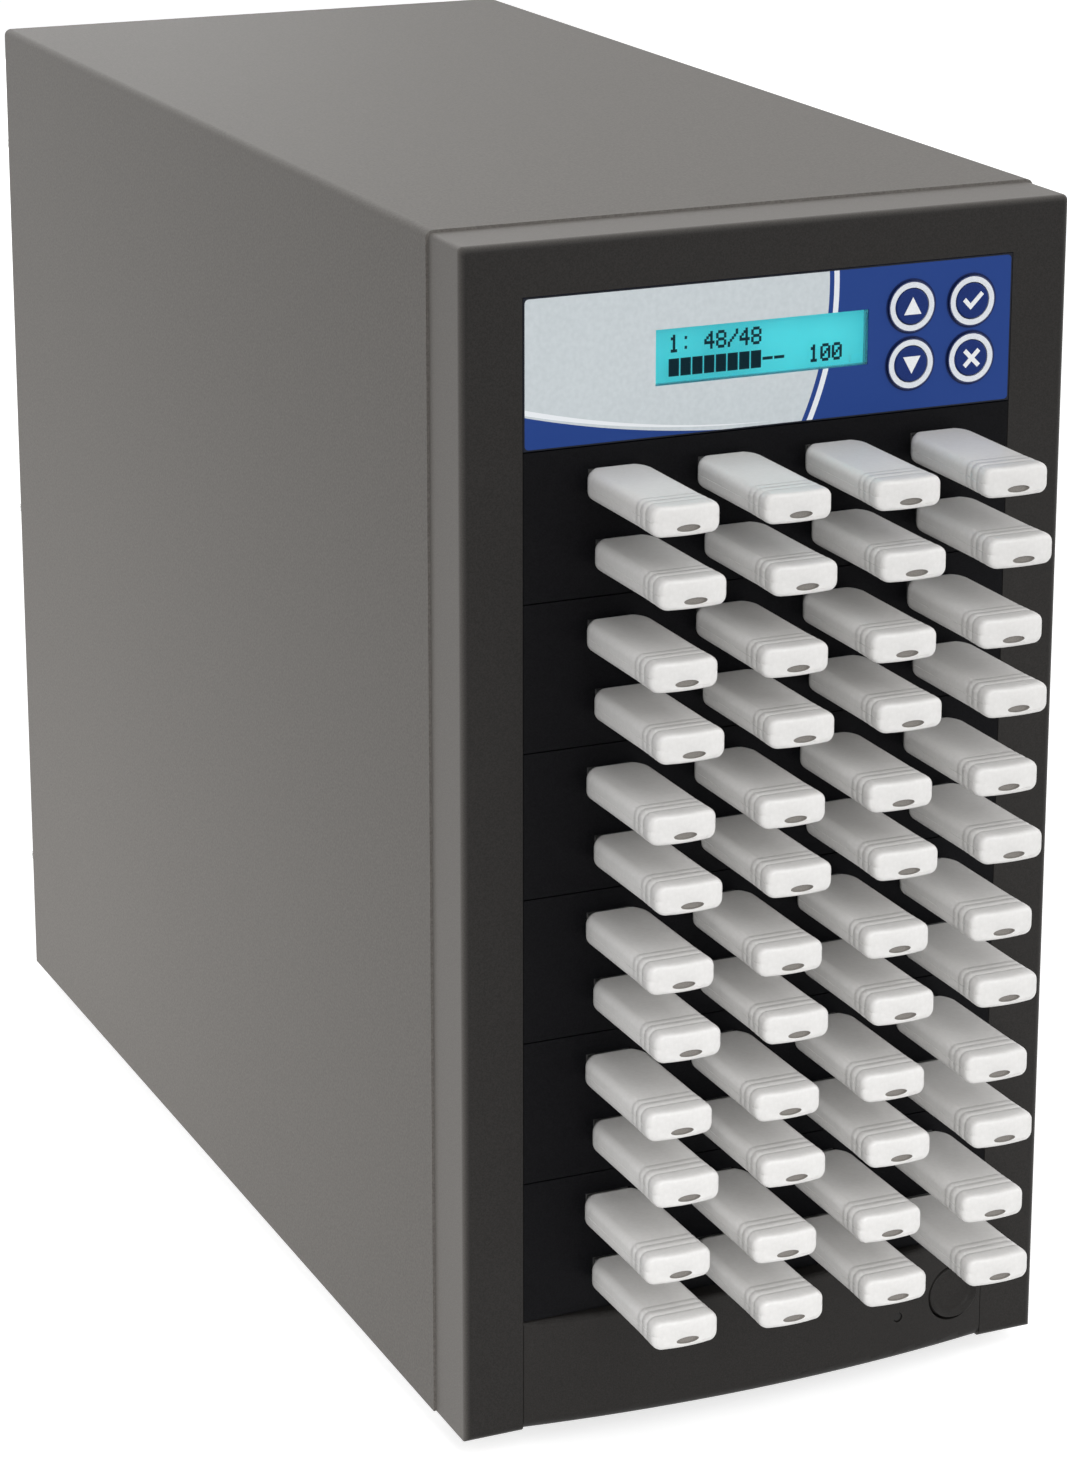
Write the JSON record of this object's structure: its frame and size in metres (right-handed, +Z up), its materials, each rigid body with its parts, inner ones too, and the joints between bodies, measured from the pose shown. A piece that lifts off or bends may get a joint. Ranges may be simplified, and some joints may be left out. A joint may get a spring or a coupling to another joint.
{
  "type": "drive duplicator",
  "caption": "Tower case with a button-and-display control bay over six bays of USB ports, a stick in every port, for copying many drives at once.",
  "frame": {"origin": "middle of the bottom of the whole box, on the surface that the feet stand on", "axes": "+X to the right seen from the front, +Y from the front to the back, +Z up"},
  "size_m": [0.1856, 0.461, 0.3518],
  "materials": {
    "cover_paint": "fine powder coat, dark warm grey",
    "chassis_steel": "zinc-plated sheet",
    "rubber": "matt",
    "bezel_plastic": "fine moulded texture",
    "bay_plastic": "smooth satin",
    "panel_plastic": "satin",
    "overlay_film": "printed film, silver and blue",
    "window_clear": "clear pane",
    "display": "lit display",
    "board": "solder mask",
    "key_plastic": "satin",
    "black_plastic": "moulded",
    "socket_steel": "plated",
    "light_pipe": "smoked clear",
    "pin_metal": "plated",
    "guard_wire": "plated wire",
    "screw_steel": "plated",
    "stick_shell": "satin white"
  },
  "bodies": {
    "housing": {"base_pan": "chassis_steel", "bay_rail_left": "chassis_steel", "bay_rail_right": "chassis_steel", "bay_trays": "chassis_steel", "chin_panel": "bezel_plastic", "control_panel": "panel_plastic", "controller_board": "board", "cover_screws": "screw_steel", "exhaust_fan_frame": "black_plastic", "fan_screws": "screw_steel", "feet": "rubber", "front_bezel": "bezel_plastic", "front_frame": "chassis_steel", "hub_boards": "board", "inlet_pins": "pin_metal", "key_switches": "black_plastic", "lcd_module": "display", "lcd_window": "window_clear", "light_pipes": "light_pipe", "mains_inlet": "black_plastic", "outer_cover": "cover_paint", "panel_overlay": "overlay_film", "power_switch": "black_plastic", "rear_panel": "chassis_steel", "rocker_housing": "black_plastic", "supply_case": "chassis_steel", "supply_fan_frame": "black_plastic", "supply_fan_guard": "guard_wire", "usb_faceplate_1": "bay_plastic", "usb_faceplate_2": "bay_plastic", "usb_faceplate_3": "bay_plastic", "usb_faceplate_4": "bay_plastic", "usb_faceplate_5": "bay_plastic", "usb_faceplate_6": "bay_plastic", "usb_sockets": "socket_steel"},
    "key_up": {"key_up": "key_plastic"},
    "key_down": {"key_down": "key_plastic"},
    "key_enter": {"key_enter": "key_plastic"},
    "key_back": {"key_back": "key_plastic"},
    "power_button": {"power_button": "bezel_plastic"},
    "rocker_switch": {"rocker_switch": "black_plastic"},
    "supply_fan_rotor": {"supply_fan_rotor": "black_plastic"},
    "exhaust_fan_rotor": {"exhaust_fan_rotor": "black_plastic"},
    "usb_stick_1_1": {"usb_stick_1_1": "stick_shell"},
    "usb_stick_1_2": {"usb_stick_1_2": "stick_shell"},
    "usb_stick_1_3": {"usb_stick_1_3": "stick_shell"},
    "usb_stick_1_4": {"usb_stick_1_4": "stick_shell"},
    "usb_sticks_row_02": {"usb_sticks_row_02": "stick_shell"},
    "usb_sticks_row_03": {"usb_sticks_row_03": "stick_shell"},
    "usb_sticks_row_04": {"usb_sticks_row_04": "stick_shell"},
    "usb_sticks_row_05": {"usb_sticks_row_05": "stick_shell"},
    "usb_sticks_row_06": {"usb_sticks_row_06": "stick_shell"},
    "usb_sticks_row_07": {"usb_sticks_row_07": "stick_shell"},
    "usb_sticks_row_08": {"usb_sticks_row_08": "stick_shell"},
    "usb_sticks_row_09": {"usb_sticks_row_09": "stick_shell"},
    "usb_sticks_row_10": {"usb_sticks_row_10": "stick_shell"},
    "usb_sticks_row_11": {"usb_sticks_row_11": "stick_shell"},
    "usb_sticks_row_12": {"usb_sticks_row_12": "stick_shell"}
  },
  "joints": [
    {"name": "key_up_press", "type": "slide", "parent": "housing", "child": "key_up", "axis": [0, 1, 0], "range_m": [0, 0.0008], "stiffness_N_per_m": 600},
    {"name": "key_down_press", "type": "slide", "parent": "housing", "child": "key_down", "axis": [0, 1, 0], "range_m": [0, 0.0008], "stiffness_N_per_m": 600},
    {"name": "key_enter_press", "type": "slide", "parent": "housing", "child": "key_enter", "axis": [0, 1, 0], "range_m": [0, 0.0008], "stiffness_N_per_m": 600},
    {"name": "key_back_press", "type": "slide", "parent": "housing", "child": "key_back", "axis": [0, 1, 0], "range_m": [0, 0.0008], "stiffness_N_per_m": 600},
    {"name": "power_button_press", "type": "slide", "parent": "housing", "child": "power_button", "axis": [0, 1, 0], "range_m": [0, 0.0025], "stiffness_N_per_m": 500},
    {"name": "rocker_tip", "type": "hinge", "parent": "housing", "child": "rocker_switch", "pos_m": [-0.048, 0.2212, 0.314], "axis": [1, 0, 0], "range_deg": [-16, 0]},
    {"name": "supply_fan_spin", "type": "hinge", "parent": "housing", "child": "supply_fan_rotor", "pos_m": [0.028, 0.2087, 0.296], "axis": [0, 1, 0], "continuous": true},
    {"name": "exhaust_fan_spin", "type": "hinge", "parent": "housing", "child": "exhaust_fan_rotor", "pos_m": [0, 0.2087, 0.202], "axis": [0, 1, 0], "continuous": true},
    {"name": "usb_stick_1_1_pull", "type": "slide", "parent": "housing", "child": "usb_stick_1_1", "axis": [0, -1, 0], "range_m": [0, 0.016]},
    {"name": "usb_stick_1_2_pull", "type": "slide", "parent": "housing", "child": "usb_stick_1_2", "axis": [0, -1, 0], "range_m": [0, 0.016]},
    {"name": "usb_stick_1_3_pull", "type": "slide", "parent": "housing", "child": "usb_stick_1_3", "axis": [0, -1, 0], "range_m": [0, 0.016]},
    {"name": "usb_stick_1_4_pull", "type": "slide", "parent": "housing", "child": "usb_stick_1_4", "axis": [0, -1, 0], "range_m": [0, 0.016]},
    {"name": "usb_sticks_row_02_pull", "type": "slide", "parent": "housing", "child": "usb_sticks_row_02", "axis": [0, -1, 0], "range_m": [0, 0.016]},
    {"name": "usb_sticks_row_03_pull", "type": "slide", "parent": "housing", "child": "usb_sticks_row_03", "axis": [0, -1, 0], "range_m": [0, 0.016]},
    {"name": "usb_sticks_row_04_pull", "type": "slide", "parent": "housing", "child": "usb_sticks_row_04", "axis": [0, -1, 0], "range_m": [0, 0.016]},
    {"name": "usb_sticks_row_05_pull", "type": "slide", "parent": "housing", "child": "usb_sticks_row_05", "axis": [0, -1, 0], "range_m": [0, 0.016]},
    {"name": "usb_sticks_row_06_pull", "type": "slide", "parent": "housing", "child": "usb_sticks_row_06", "axis": [0, -1, 0], "range_m": [0, 0.016]},
    {"name": "usb_sticks_row_07_pull", "type": "slide", "parent": "housing", "child": "usb_sticks_row_07", "axis": [0, -1, 0], "range_m": [0, 0.016]},
    {"name": "usb_sticks_row_08_pull", "type": "slide", "parent": "housing", "child": "usb_sticks_row_08", "axis": [0, -1, 0], "range_m": [0, 0.016]},
    {"name": "usb_sticks_row_09_pull", "type": "slide", "parent": "housing", "child": "usb_sticks_row_09", "axis": [0, -1, 0], "range_m": [0, 0.016]},
    {"name": "usb_sticks_row_10_pull", "type": "slide", "parent": "housing", "child": "usb_sticks_row_10", "axis": [0, -1, 0], "range_m": [0, 0.016]},
    {"name": "usb_sticks_row_11_pull", "type": "slide", "parent": "housing", "child": "usb_sticks_row_11", "axis": [0, -1, 0], "range_m": [0, 0.016]},
    {"name": "usb_sticks_row_12_pull", "type": "slide", "parent": "housing", "child": "usb_sticks_row_12", "axis": [0, -1, 0], "range_m": [0, 0.016]}
  ]
}
